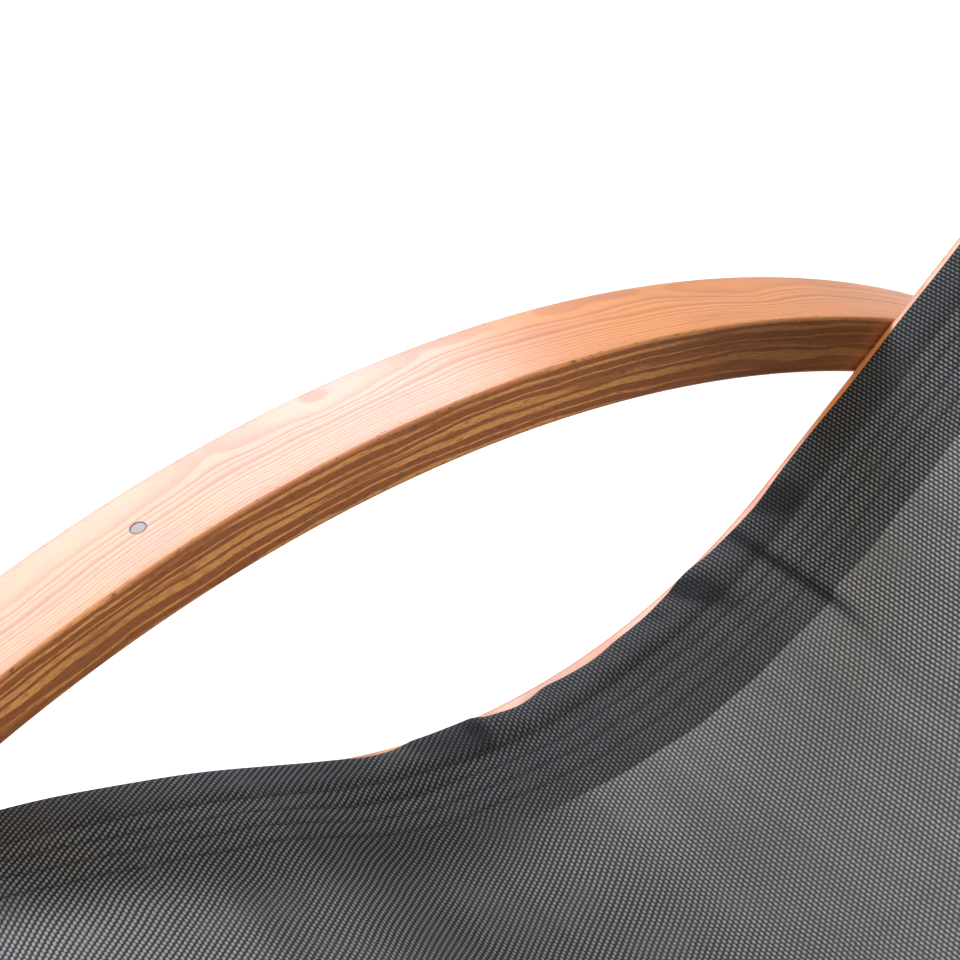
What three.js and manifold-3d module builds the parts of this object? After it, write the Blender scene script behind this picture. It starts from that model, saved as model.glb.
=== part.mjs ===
// Garden hammock lounger. A full-length mesh sling lies on two S-shaped rails, and the rails are
// bolted between two bent-wood arches, which are the stand's legs and the armrests in one bow.
// Millimetres, +Z up, +X towards the head, +Y towards the user's right. The origin is on the floor
// under the crown of the arches, midway between them. Each right-hand piece is drawn in place and
// mirrored for the left.
import * as THREE from 'three';
import { mergeVertices } from 'three/addons/utils/BufferGeometryUtils.js';
import Module from 'manifold-3d';

const DEG = Math.PI / 180;
const GAP = 0.3; // between touching pieces

// Driving dimensions
const ARCH = { top: 620, radius: 900, depth: 40, width: 70, innerY: 295, rounding: 4 };
const RAIL = { width: 42, depth: 48, outerY: 294.7, rounding: 4 };
const HIP = { x: -9, z: 381.5, radius: 375, toKnee: 22.5 * DEG, toBack: 39.5 * DEG };
const KNEE = { radius: 1070, footDrop: 15 * DEG };
const BACK = { length: 330 };
const HEAD = { radius: 1100, rollBack: 15 * DEG };
const BATTEN = { innerY: 260, outerY: 276, low: 1.2, thickness: 2 };
const SLING = { halfWidth: 291, endInset: 14, low: 3.6, thickness: 2, hipSag: 18, endSag: 10, steps: 8 };
const CROSSBAR = { width: 44, depth: 20, drop: 23, rounding: 4, fromEnd: 75, fromCrossing: 78 };
const STRETCHER = { width: 56, depth: 26, rounding: 5, height: 190 };
const HOUSING = 6; // how far a bar's ends are let into the rails or arches
const GLIDE = { thickness: 4, length: 34, width: 58, rounding: 8, stemRadius: 4, stemLength: 20 };
const OUTLINE_STEP = 48; // longest straight facet along a bend

// Fasteners: radius is the shank's, under is the length below the head
const CROSSING_BOLT = { radius: 4, head: 9, headHeight: 4, hex: 3, under: 116, sink: 6 };
const CROSSBAR_BOLT = { radius: 3, head: 7.5, headHeight: 3.5, hex: 2.3, under: 72, sink: 6 };
const STRETCHER_BOLT = { radius: 4, head: 9, headHeight: 4, hex: 3, under: 106, sink: 6 };
const CROSSBAR_NUT = { radius: 5, length: 16, fromEnd: 34 };
const STRETCHER_NUT = { radius: 6, length: 20, fromEnd: 40 };
const WASHER = { radius: 9, thickness: 1.6 };
const CAP_NUT = { radius: 7.5, hexHeight: 6.5, domeHeight: 5, boreDepth: 9 };
const HEM_SCREW = { radius: 2, head: 4, under: 36, sink: 16, count: 6, fromEnd: 60 };
const ARM_SCREW = { radius: 2.5, head: 5, under: 32, x: -221 };
const CLEARANCE = 0.35; // radial, round every shank and nut
const BOLT_RUN = 16; // a bolt's hole goes this far past its barrel nut's middle
const SIDES = 10; // facets round a fastener

const wasm = await Module();
wasm.setup();

// ---------------------------------------------------------------- solids, cuts and placing

function solid(geometry) {
  const bare = geometry.clone();
  bare.deleteAttribute('normal');
  bare.deleteAttribute('uv');
  const merged = mergeVertices(bare, 1e-4);
  return new wasm.Manifold(new wasm.Mesh({
    numProp: 3,
    vertProperties: merged.attributes.position.array,
    triVerts: new Uint32Array(merged.index.array),
  }));
}

function geometryOf(manifold) {
  const mesh = manifold.getMesh();
  const geometry = new THREE.BufferGeometry();
  geometry.setAttribute('position', new THREE.BufferAttribute(mesh.vertProperties, 3));
  geometry.setIndex(new THREE.BufferAttribute(mesh.triVerts, 1));
  geometry.computeVertexNormals();
  return geometry;
}

function cut(body, tools) {
  return geometryOf(tools.reduce((rest, tool) => rest.subtract(solid(tool)), solid(body)));
}

function join(first, second) {
  return geometryOf(solid(first).add(solid(second)));
}

function mirrored(geometry) {
  const copy = geometry.index ? geometry.clone() : mergeVertices(geometry.clone(), 1e-4);
  copy.scale(1, -1, 1);
  const index = copy.index.array;
  for (let i = 0; i < index.length; i += 3) [index[i], index[i + 1]] = [index[i + 1], index[i]];
  copy.computeVertexNormals();
  return copy;
}

// An outline in the XZ plane, extruded along Y from lowY to highY, with chamfered long edges
function plank(outline, lowY, highY, chamfer, steps = 1) {
  const geometry = new THREE.ExtrudeGeometry(new THREE.Shape(outline), {
    depth: highY - lowY - 2 * chamfer,
    steps,
    curveSegments: 4,
    bevelEnabled: chamfer > 0,
    bevelThickness: chamfer,
    bevelSize: chamfer,
    bevelOffset: -chamfer,
    bevelSegments: 1,
  });
  geometry.rotateX(Math.PI / 2);
  return geometry.translate(0, highY - chamfer, 0);
}

// A cylinder along Y from lowY to highY
function rod(radius, x, lowY, highY, z, sides = SIDES) {
  const geometry = new THREE.CylinderGeometry(radius, radius, highY - lowY, sides);
  return geometry.translate(x, (lowY + highY) / 2, z);
}

// Moves a solid drawn along Y at the origin so that its Y axis points along direction at point
function aim(geometry, point, direction) {
  const turn = new THREE.Quaternion().setFromUnitVectors(new THREE.Vector3(0, 1, 0), direction);
  return geometry.clone().applyQuaternion(turn).translate(point.x, point.y, point.z);
}

function lathe(profile, sides = SIDES) {
  return new THREE.LatheGeometry(profile.map(([r, y]) => new THREE.Vector2(r, y)), sides);
}

function bisect(f, low, high) {
  const sign = Math.sign(f(low));
  for (let i = 0; i < 50; i += 1) {
    const middle = (low + high) / 2;
    if (Math.sign(f(middle)) === sign) low = middle;
    else high = middle;
  }
  return (low + high) / 2;
}

// ---------------------------------------------------------------- the two curves

// The rail's top line as bends from the foot end to the head end. A positive turn curves upwards.
const BENDS = [
  { length: KNEE.radius * (KNEE.footDrop + HIP.toKnee), turn: -(KNEE.footDrop + HIP.toKnee) },
  { length: HIP.radius * (HIP.toKnee + HIP.toBack), turn: HIP.toKnee + HIP.toBack },
  { length: BACK.length, turn: 0 },
  { length: HEAD.radius * HEAD.rollBack, turn: -HEAD.rollBack },
];
const RAIL_LENGTH = BENDS.reduce((sum, bend) => sum + bend.length, 0);
const HIP_DISTANCE = BENDS[0].length + HIP.radius * HIP.toKnee;

function advance(from, length, turn) {
  if (turn === 0) {
    const { x, z, heading } = from;
    return { x: x + length * Math.cos(heading), z: z + length * Math.sin(heading), heading };
  }
  const radius = length / turn;
  const heading = from.heading + turn;
  const x = from.x + radius * (Math.sin(heading) - Math.sin(from.heading));
  const z = from.z + radius * (Math.cos(from.heading) - Math.cos(heading));
  return { x, z, heading };
}

function follow(distance, start) {
  let place = start;
  let left = distance;
  for (const bend of BENDS) {
    const part = Math.min(left, bend.length);
    place = advance(place, part, (bend.turn * part) / bend.length);
    left -= part;
    if (left <= 0) break;
  }
  return place;
}

const hipFromZero = follow(HIP_DISTANCE, { x: 0, z: 0, heading: KNEE.footDrop });
const FOOT_END = { x: HIP.x - hipFromZero.x, z: HIP.z - hipFromZero.z, heading: KNEE.footDrop };

// The point above the rail's top line by offset, at a distance along it from the foot end
function railAt(distance, offset = 0) {
  const { x, z, heading } = follow(distance, FOOT_END);
  return { x: x - offset * Math.sin(heading), z: z + offset * Math.cos(heading), heading };
}

function spaced(from, to, step) {
  const count = Math.ceil((to - from) / step);
  return Array.from({ length: count + 1 }, (_, i) => from + ((to - from) * i) / count);
}

// The outline of a strip that follows the rail, between two offsets from its top line
function railStrip(from, to, low, high) {
  const upper = spaced(from, to, OUTLINE_STEP).map((s) => railAt(s, high));
  const lower = spaced(from, to, OUTLINE_STEP).map((s) => railAt(s, low));
  return [...lower, ...upper.reverse()].map(({ x, z }) => new THREE.Vector2(x, z));
}

const ARCH_CENTRE_Z = ARCH.top - ARCH.radius;
const ARCH_MIDDLE = ARCH.radius - ARCH.depth / 2;
const FOOT_Z = GLIDE.thickness + GAP;

// An arch as an outline: two arcs, each cut level at the foot
function archOutline() {
  const arc = (radius) => {
    const reach = Math.acos((FOOT_Z - ARCH_CENTRE_Z) / radius);
    return spaced(-reach, reach, OUTLINE_STEP / radius).map((angle) => (
      new THREE.Vector2(radius * Math.sin(angle), ARCH_CENTRE_Z + radius * Math.cos(angle))
    ));
  };
  return [...arc(ARCH.radius - ARCH.depth), ...arc(ARCH.radius).reverse()];
}

// Where the rail's middle line crosses the arch's middle line, in front and behind
const overArch = (distance) => {
  const { x, z } = railAt(distance, -RAIL.depth / 2);
  return Math.hypot(x, z - ARCH_CENTRE_Z) - ARCH_MIDDLE;
};
const FRONT_CROSSING = bisect(overArch, 0, HIP_DISTANCE);
const REAR_CROSSING = bisect(overArch, HIP_DISTANCE, RAIL_LENGTH);
const CROSSINGS = [FRONT_CROSSING, REAR_CROSSING].map((s) => railAt(s, -RAIL.depth / 2));

const CROSSBARS = [
  { name: 'foot_crossbar', distance: CROSSBAR.fromEnd },
  { name: 'knee_crossbar', distance: FRONT_CROSSING + CROSSBAR.fromCrossing },
  { name: 'back_crossbar', distance: REAR_CROSSING + CROSSBAR.fromCrossing },
  { name: 'head_crossbar', distance: RAIL_LENGTH - CROSSBAR.fromEnd },
].map((bar) => ({ ...bar, ...railAt(bar.distance, -CROSSBAR.drop - CROSSBAR.depth / 2) }));

// The stretchers stand square to the legs, on the arches' middle line
const stretcherX = Math.sqrt(ARCH_MIDDLE ** 2 - (STRETCHER.height - ARCH_CENTRE_Z) ** 2);
const STRETCHERS = [{ name: 'front_stretcher', side: -1 }, { name: 'rear_stretcher', side: 1 }]
  .map(({ name, side }) => {
    const x = side * stretcherX;
    return { name, x, z: STRETCHER.height, heading: -Math.atan2(x, STRETCHER.height - ARCH_CENTRE_Z) };
  });

const RAIL_INNER_Y = RAIL.outerY - RAIL.width;
const ARCH_OUTER_Y = ARCH.innerY + ARCH.width;
const CROSSBAR_END_Y = RAIL_INNER_Y + HOUSING - GAP;
const STRETCHER_END_Y = ARCH.innerY + HOUSING - GAP;

// ---------------------------------------------------------------- fasteners

// A flat-headed furniture bolt with a hexagon socket: head face at the origin, shank along -Y
function connectorBolt({ radius, head, headHeight, hex, under }) {
  const shape = lathe([
    [0, 0], [head, 0], [head, -headHeight], [radius, -headHeight],
    [radius, -headHeight - under], [0, -headHeight - under],
  ].reverse());
  const socket = new THREE.CylinderGeometry(hex, hex, headHeight, 6).translate(0, 0.4, 0);
  return cut(shape, [socket]);
}

// A countersunk wood screw: head face at the origin, point along -Y
function woodScrew({ radius, head, under }) {
  const shape = lathe([
    [0, 0], [head, 0], [head, -0.6], [radius, -head + radius - 0.6],
    [radius, -under + 2 * radius], [0, -under],
  ].reverse());
  const socket = new THREE.CylinderGeometry(head * 0.4, head * 0.4, 2.4, 6);
  return cut(shape, [socket]);
}

// A barrel nut along Z, tapped along Y
function barrelNut({ radius, length }, shank) {
  const body = new THREE.CylinderGeometry(radius, radius, length, SIDES).rotateX(Math.PI / 2);
  return cut(body, [rod(shank + CLEARANCE, 0, -2 * radius, 2 * radius, 0)]);
}

// A domed cap nut along Y: its open face is at the origin and the dome points along -Y
function capNut({ radius, hexHeight, domeHeight, boreDepth }) {
  const hex = new THREE.CylinderGeometry(radius, radius, hexHeight, 6).translate(0, -hexHeight / 2, 0);
  const base = radius * 0.82;
  const rise = (t) => [base * Math.cos(t * 90 * DEG), -hexHeight - domeHeight * Math.sin(t * 90 * DEG)];
  const dome = lathe([[0, -1], [base, -1], [base, -hexHeight], rise(1 / 3), rise(2 / 3),
    [0, -hexHeight - domeHeight]].reverse());
  const bore = rod(CROSSING_BOLT.radius + CLEARANCE, 0, -boreDepth, 1, 0);
  return cut(join(hex, dome), [bore]);
}

function washer({ radius, thickness }) {
  const body = rod(radius, 0, -thickness, 0, 0);
  return cut(body, [rod(CROSSING_BOLT.radius + CLEARANCE, 0, -2 * thickness, thickness, 0)]);
}

// A hole for a shank along Y, with a wider sink for its head at the outer end
function boltHole(bolt, { x, z }, lowY, outerY) {
  return [
    rod(bolt.radius + CLEARANCE, x, lowY, outerY + 1, z),
    rod(bolt.head + CLEARANCE, x, outerY - bolt.sink, outerY + 1, z),
  ];
}

// ---------------------------------------------------------------- wooden pieces

const FEET = [{ name: 'front', side: -1 }, { name: 'rear', side: 1 }].map(({ name, side }) => {
  const reach = (radius) => Math.sqrt(radius ** 2 - (FOOT_Z - ARCH_CENTRE_Z) ** 2);
  const x = (side * (reach(ARCH.radius) + reach(ARCH.radius - ARCH.depth))) / 2;
  return { name, x, y: ARCH.innerY + ARCH.width / 2 };
});

const armScrewZ = ARCH_CENTRE_Z + Math.sqrt(ARCH.radius ** 2 - ARM_SCREW.x ** 2);
const armScrewPoint = new THREE.Vector3(ARM_SCREW.x, ARCH.innerY + ARCH.width / 2, armScrewZ);
const armScrewOut = new THREE.Vector3(ARM_SCREW.x, 0, armScrewZ - ARCH_CENTRE_Z).normalize();

// A countersunk screw's hole: the same shape with clearance all round
function screwHole(screw) {
  const wide = CLEARANCE;
  return lathe([
    [0, 6], [screw.head + wide, 6], [screw.head + wide, -0.6 - wide],
    [screw.radius + wide, -screw.head + screw.radius - 0.6 - wide],
    [screw.radius + wide, -screw.under - 1], [0, -screw.under - 1],
  ].reverse());
}

// A bar's eight-sided section at its place along the lounger, grown all round by spare
function barOutline({ x, z, heading }, { width, depth, rounding }, spare = 0) {
  const points = [];
  for (const [a, b] of [[1, 1], [-1, 1], [-1, -1], [1, -1]]) {
    const flat = [a * (width / 2 - rounding), b * (depth / 2 + spare)];
    const side = [a * (width / 2 + spare), b * (depth / 2 - rounding)];
    points.push(...(a * b > 0 ? [side, flat] : [flat, side]));
  }
  return points.map(([u, v]) => new THREE.Vector2(
    x + u * Math.cos(heading) - v * Math.sin(heading),
    z + u * Math.sin(heading) + v * Math.cos(heading),
  ));
}

// The shallow housing that a bar's end is let into, in a face at faceY
function housing(bar, size, faceY) {
  return plank(barOutline(bar, size, GAP), faceY - 2, faceY + HOUSING, 0);
}

function rightArch() {
  const body = plank(archOutline(), ARCH.innerY, ARCH_OUTER_Y, ARCH.rounding);
  const tools = [
    ...CROSSINGS.flatMap((at) => boltHole(CROSSING_BOLT, at, ARCH.innerY - 1, ARCH_OUTER_Y)),
    ...STRETCHERS.flatMap((at) => boltHole(STRETCHER_BOLT, at, ARCH.innerY - 1, ARCH_OUTER_Y)),
    ...STRETCHERS.map((at) => housing(at, STRETCHER, ARCH.innerY)),
    ...FEET.map((foot) => stem(foot, CLEARANCE)),
    aim(screwHole(ARM_SCREW), armScrewPoint, armScrewOut),
  ];
  return cut(body, tools);
}

// Hem screws rise from the rail's underside, square to it, into the batten
const hemScrewSpacing = (RAIL_LENGTH - 2 * HEM_SCREW.fromEnd) / (HEM_SCREW.count - 1);
const hemScrews = Array.from({ length: HEM_SCREW.count }, (_, i) => {
  const distance = HEM_SCREW.fromEnd + i * hemScrewSpacing;
  const { x, z, heading } = railAt(distance, -RAIL.depth + HEM_SCREW.sink);
  const point = new THREE.Vector3(x, (BATTEN.innerY + BATTEN.outerY) / 2, z);
  return { point, direction: new THREE.Vector3(Math.sin(heading), 0, -Math.cos(heading)) };
});

function rightRail() {
  const strip = railStrip(0, RAIL_LENGTH, -RAIL.depth, 0);
  const body = plank(strip, RAIL_INNER_Y, RAIL.outerY, RAIL.rounding);
  const nearHole = new THREE.CylinderGeometry(5, 5, HEM_SCREW.sink + 2, SIDES)
    .translate(0, HEM_SCREW.sink / 2, 0);
  const tools = [
    ...CROSSINGS.map(({ x, z }) => (
      rod(CROSSING_BOLT.radius + CLEARANCE, x, RAIL_INNER_Y - 1, RAIL.outerY + 1, z))),
    ...CROSSBARS.flatMap((bar) => boltHole(CROSSBAR_BOLT, bar, RAIL_INNER_Y - 1, RAIL.outerY)),
    ...CROSSBARS.map((bar) => housing(bar, CROSSBAR, RAIL_INNER_Y)),
    ...hemScrews.flatMap(({ point, direction }) => [
      aim(nearHole, point, direction), aim(screwHole(HEM_SCREW), point, direction)]),
  ];
  return cut(body, tools);
}

function rightBatten() {
  const strip = railStrip(SLING.endInset, RAIL_LENGTH - SLING.endInset,
    BATTEN.low, BATTEN.low + BATTEN.thickness);
  const body = plank(strip, BATTEN.innerY, BATTEN.outerY, 0);
  return cut(body, hemScrews.map(({ point, direction }) => (
    aim(screwHole(HEM_SCREW), point, direction))));
}

// A straight bar across the lounger, bored at each end for its bolt and barrel nut
function barAcross(bar, size, endY, bolt, nut) {
  const square = new THREE.Vector3(-Math.sin(bar.heading), 0, Math.cos(bar.heading));
  const nutRadius = nut.radius + CLEARANCE;
  const tools = [-1, 1].flatMap((side) => {
    const ends = [side * (endY + 1), side * (endY - nut.fromEnd - BOLT_RUN)];
    const nutHole = new THREE.CylinderGeometry(nutRadius, nutRadius, size.depth + 4, SIDES);
    return [
      rod(bolt.radius + CLEARANCE, bar.x, Math.min(...ends), Math.max(...ends), bar.z),
      aim(nutHole, new THREE.Vector3(bar.x, side * (endY - nut.fromEnd), bar.z), square),
    ];
  });
  return cut(plank(barOutline(bar, size), -endY, endY, 0), tools);
}

// ---------------------------------------------------------------- sling and feet

// The sling as a thin sheet that lies flat on both battens and hangs a little lower between them
function sling() {
  const strip = railStrip(SLING.endInset, RAIL_LENGTH - SLING.endInset,
    SLING.low, SLING.low + SLING.thickness);
  const sheet = plank(strip, -SLING.halfWidth, SLING.halfWidth, 0, SLING.steps);
  const position = sheet.attributes.position;
  const start = railAt(SLING.endInset).x;
  const end = railAt(RAIL_LENGTH - SLING.endInset).x;
  const edgeY = BATTEN.innerY - 1;
  for (let i = 0; i < position.count; i += 1) {
    const outward = position.getY(i) / SLING.halfWidth;
    const across = outward / (1 - 2 / SLING.steps); // 1 at the last vertex before the edge
    if (Math.abs(across) > 1.01) continue;
    const along = (position.getX(i) - start) / (end - start);
    const depth = SLING.endSag + (SLING.hipSag - SLING.endSag) * Math.sin(Math.PI * along) ** 2;
    position.setY(i, across * edgeY);
    position.setZ(i, position.getZ(i) - depth * (1 - across ** 2));
  }
  return geometryOf(solid(sheet));
}

// A glide's round stem, pressed up into the leg
function stem({ x, y }, spare = 0) {
  const radius = GLIDE.stemRadius + spare;
  const height = GLIDE.stemLength + spare + 1;
  const shape = new THREE.CylinderGeometry(radius, radius, height, SIDES).rotateX(Math.PI / 2);
  return shape.translate(x, y, GLIDE.thickness - 1 + height / 2);
}

function glide(foot) {
  const shape = new THREE.Shape();
  const [halfX, halfY, r] = [GLIDE.length / 2, GLIDE.width / 2, GLIDE.rounding];
  shape.moveTo(halfX, -halfY + r);
  shape.absarc(halfX - r, halfY - r, r, 0, 90 * DEG);
  shape.absarc(-halfX + r, halfY - r, r, 90 * DEG, 180 * DEG);
  shape.absarc(-halfX + r, -halfY + r, r, 180 * DEG, 270 * DEG);
  shape.absarc(halfX - r, -halfY + r, r, 270 * DEG, 360 * DEG);
  const pad = new THREE.ExtrudeGeometry(shape, {
    depth: GLIDE.thickness, bevelEnabled: false, curveSegments: 3,
  });
  return join(pad.translate(foot.x, foot.y, 0), stem(foot));
}

// ---------------------------------------------------------------- the assembly

const lounger = new THREE.Group();

const wood = (color) => new THREE.MeshStandardMaterial({ color, roughness: 0.45, metalness: 0 });
const steel = () => new THREE.MeshStandardMaterial({ color: 0xb4b7ba, roughness: 0.35, metalness: 1 });
const plastic = (color) => new THREE.MeshStandardMaterial({ color, roughness: 0.6, metalness: 0 });
const fabric = () => new THREE.MeshStandardMaterial({ color: 0x3a3b3d, roughness: 0.85, metalness: 0 });

function add(name, geometry, material) {
  const mesh = new THREE.Mesh(geometry, material);
  mesh.name = name;
  lounger.add(mesh);
}

function addPair(name, rightGeometry, material) {
  add(`right_${name}`, rightGeometry, material);
  add(`left_${name}`, mirrored(rightGeometry), material.clone());
}

addPair('arch', rightArch(), wood(0xb8713c));
addPair('side_rail', rightRail(), wood(0xb06a38));
addPair('hem_batten', rightBatten(), plastic(0xd8d6cf));
add('sling_fabric', sling(), fabric());

for (const bar of CROSSBARS) {
  add(bar.name, barAcross(bar, CROSSBAR, CROSSBAR_END_Y, CROSSBAR_BOLT, CROSSBAR_NUT), wood(0xb06a38));
}
for (const bar of STRETCHERS) {
  const geometry = barAcross(bar, STRETCHER, STRETCHER_END_Y, STRETCHER_BOLT, STRETCHER_NUT);
  add(bar.name, geometry, wood(0xb06a38));
}

const ENDS = ['front', 'rear'];
const boltAt = ({ x, z }, bolt, outerY) => (
  connectorBolt(bolt).translate(x, outerY - bolt.sink + bolt.headHeight + GAP, z));
const nutAt = ({ x, z, heading }, nut, shank, endY) => (
  barrelNut(nut, shank).rotateY(-heading).translate(x, endY - nut.fromEnd, z));
const washerY = RAIL_INNER_Y - GAP;
const capNutY = washerY - WASHER.thickness - GAP;

CROSSINGS.forEach((at, i) => {
  addPair(`${ENDS[i]}_crossing_bolt`, boltAt(at, CROSSING_BOLT, ARCH_OUTER_Y), steel());
  addPair(`${ENDS[i]}_crossing_washer`, washer(WASHER).translate(at.x, washerY, at.z), steel());
  addPair(`${ENDS[i]}_crossing_cap_nut`, capNut(CAP_NUT).translate(at.x, capNutY, at.z), steel());
});
for (const bar of CROSSBARS) {
  const nut = nutAt(bar, CROSSBAR_NUT, CROSSBAR_BOLT.radius, CROSSBAR_END_Y);
  addPair(`${bar.name}_bolt`, boltAt(bar, CROSSBAR_BOLT, RAIL.outerY), steel());
  addPair(`${bar.name}_barrel_nut`, nut, steel());
}
for (const bar of STRETCHERS) {
  const nut = nutAt(bar, STRETCHER_NUT, STRETCHER_BOLT.radius, STRETCHER_END_Y);
  addPair(`${bar.name}_bolt`, boltAt(bar, STRETCHER_BOLT, ARCH_OUTER_Y), steel());
  addPair(`${bar.name}_barrel_nut`, nut, steel());
}
addPair('arm_screw', aim(woodScrew(ARM_SCREW), armScrewPoint, armScrewOut), steel());
for (const foot of FEET) addPair(`${foot.name}_glide`, glide(foot), plastic(0x2a2a2b));

export default lounger;
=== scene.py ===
"""Garden hammock lounger: a mesh sling on S-shaped wooden rails, bolted between two bent-wood arches.

Metres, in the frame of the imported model: +X towards the head, +Y towards the lying user's right,
+Z up. The wooden beams are swept again with smooth bends and round edges, the sling is one cloth
with its sewn sleeves, and the fasteners are turned again with real sockets and domes.
"""
import math
from functools import reduce

import bmesh
import bpy
import numpy as np
from mathutils import Matrix, Vector


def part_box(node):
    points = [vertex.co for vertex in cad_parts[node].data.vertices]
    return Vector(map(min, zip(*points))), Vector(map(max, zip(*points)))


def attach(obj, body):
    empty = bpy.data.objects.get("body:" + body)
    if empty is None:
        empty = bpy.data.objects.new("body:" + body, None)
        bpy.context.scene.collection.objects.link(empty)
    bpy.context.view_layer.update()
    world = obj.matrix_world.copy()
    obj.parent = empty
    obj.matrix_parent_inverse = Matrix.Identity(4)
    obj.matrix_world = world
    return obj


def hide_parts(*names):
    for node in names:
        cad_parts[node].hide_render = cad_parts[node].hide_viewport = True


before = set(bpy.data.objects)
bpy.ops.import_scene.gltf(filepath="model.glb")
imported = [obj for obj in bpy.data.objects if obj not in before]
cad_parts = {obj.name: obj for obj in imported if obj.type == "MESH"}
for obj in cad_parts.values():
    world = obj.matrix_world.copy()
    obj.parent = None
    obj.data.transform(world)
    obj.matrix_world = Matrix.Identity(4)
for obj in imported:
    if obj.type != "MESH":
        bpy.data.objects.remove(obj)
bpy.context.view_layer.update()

MM = 0.001
SHARP = math.radians(35)  # edges steeper than this are shaded as edges
RIGHT_LEFT = (("right", False), ("left", True))  # each side, and whether it is mirrored

# ---------------------------------------------------------------- driving dimensions

ARCH_RADIUS = 0.900  # to the top face
ARCH_DEPTH = 0.040
ARCH_ROUNDING = 0.0026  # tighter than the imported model's 4 mm chamfers
RAIL_DEPTH = 0.048
RAIL_ROUNDING = 0.004
HIP_X = -0.009
HIP_RADIUS = 0.375
HIP_TO_KNEE = math.radians(22.5)
HIP_TO_BACK = math.radians(39.5)
KNEE_RADIUS = 1.070
FOOT_DROP = math.radians(15)
BACK_LENGTH = 0.330
HEAD_RADIUS = 1.100
HEAD_ROLL = math.radians(15)
HEAD_SINK = 0.006  # how deep the bolts' heads are let into the wood

arch_low, arch_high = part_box("right_arch")
rail_low, rail_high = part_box("right_side_rail")

ARCH_TOP = arch_high.z
ARCH_CENTRE_Z = ARCH_TOP - ARCH_RADIUS
ARCH_INNER_Y = arch_low.y
ARCH_WIDTH = arch_high.y - arch_low.y
FOOT_Z = arch_low.z
RAIL_INNER_Y = rail_low.y
RAIL_WIDTH = rail_high.y - rail_low.y
HIP_Z = rail_low.z + RAIL_DEPTH

CROSSBARS = ("foot_crossbar", "knee_crossbar", "back_crossbar", "head_crossbar")
STRETCHERS = ("front_stretcher", "rear_stretcher")
CROSSINGS = ("front_crossing", "rear_crossing")
CROSSBAR_SECTION = {"width": 0.044, "depth": 0.020, "rounding": 0.004}
STRETCHER_SECTION = {"width": 0.056, "depth": 0.026, "rounding": 0.005}

BATTEN_INNER, BATTEN_OUTER = 0.2605, 0.2755
BATTEN_MIDDLE = (BATTEN_INNER + BATTEN_OUTER) / 2
BATTEN_LOW, BATTEN_THICKNESS = 0.0012, 0.0018
HEM_SCREWS = 6
HEM_SCREW_FROM_END = 0.060
HEM_SCREW_SINK = 0.016

# The sling. Half widths are counted from the lounger's middle.
CLOTH = 0.0008  # thickness
SLING_INSET = 0.014  # from each end of the rails
STITCH_ROWS = (0.2572, 0.2440, 0.2303, 0.2158)  # half widths
STITCH_LENGTH, STITCH_PITCH = 0.0030, 0.0042
THREAD_RADIUS, THREAD_SIDES = 0.00036, 5
HEM_LINE = 0.1940
SLEEVE_TOP = 0.0036
FALL_START = BATTEN_OUTER - 0.0015  # where the sleeve's top begins to fall to its folded edge
FOLD_HEIGHT, FOLD_RADIUS = 0.0020, 0.0014  # of the folded edge
ON_RAIL = 0.0017  # the top layer beside the batten, over the lower one
HIP_SAG = 0.016
END_SAG = 0.009
CREASE = 1.063  # where the cloth is creased straight across, at the foot of the backrest
LEFT_SHIFT = 0.023  # how far the left sleeve's folds lie along from the right one's


# ---------------------------------------------------------------- camera, light and floor


def show(piece):
    bpy.context.scene.collection.objects.link(piece)


def make_camera():
    """From above the foot end's near side, at the far armrest."""
    yaw, pitch = math.radians(36.52), math.radians(33)
    level = math.cos(pitch)
    forward = Vector((math.sin(yaw) * level, math.cos(yaw) * level, -math.sin(pitch)))
    data = bpy.data.cameras.new("camera")
    data.sensor_width = 36
    data.lens = 105
    camera = bpy.data.objects.new("camera", data)
    camera.location = (-0.8525, -0.8477, ARCH_TOP + 0.8626)
    camera.rotation_euler = forward.to_track_quat("-Z", "Y").to_euler()
    show(camera)
    bpy.context.scene.camera = camera


def area_light(name, place, target, size, power, colour=(1, 1, 1)):
    data = bpy.data.lights.new(name, "AREA")
    data.shape = "RECTANGLE"
    data.size, data.size_y = size
    data.energy = power
    data.color = colour
    light = bpy.data.objects.new(name, data)
    light.location = place
    light.rotation_euler = (Vector(target) - Vector(place)).to_track_quat("-Z", "Y").to_euler()
    show(light)


def make_stage():
    world = bpy.data.worlds.new("studio")
    bpy.context.scene.world = world
    world.use_nodes = True
    background = world.node_tree.nodes["Background"]
    background.inputs["Color"].default_value = (1, 1, 1, 1)
    background.inputs["Strength"].default_value = 0.64
    # The softbox behind the far arch is mirrored in the front half of the arch's top face.
    area_light("back_softbox", (-0.18, 2.1, 2.05), (-0.18, 0.33, 0.6), (3.4, 1.0), 99,
               (0.665, 0.785, 1.0))
    area_light("overhead", (0.10, 0.10, 2.7), (0.0, 0.10, 0.5), (1.8, 1.8), 14)
    area_light("foot_fill", (-2.7, -0.9, 1.9), (-0.3, 0.1, 0.5), (1.5, 1.3), 42)
    bpy.context.scene.view_settings.view_transform = "Standard"

    half, white = 9.0, 0.93
    corners = [(-half, -half, 0), (half, -half, 0), (half, half, 0), (-half, half, 0)]
    mesh = bpy.data.meshes.new("floor")
    mesh.from_pydata(corners, [], [(0, 1, 2, 3)])
    floor = bpy.data.objects.new("floor", mesh)
    show(floor)
    material = bpy.data.materials.new("floor_paper")
    material.use_nodes = True
    shader = material.node_tree.nodes["Principled BSDF"]
    shader.inputs["Base Color"].default_value = (white, white, white, 1)
    shader.inputs["Roughness"].default_value = 0.9
    mesh.materials.append(material)


# ---------------------------------------------------------------- the rail's curve

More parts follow.
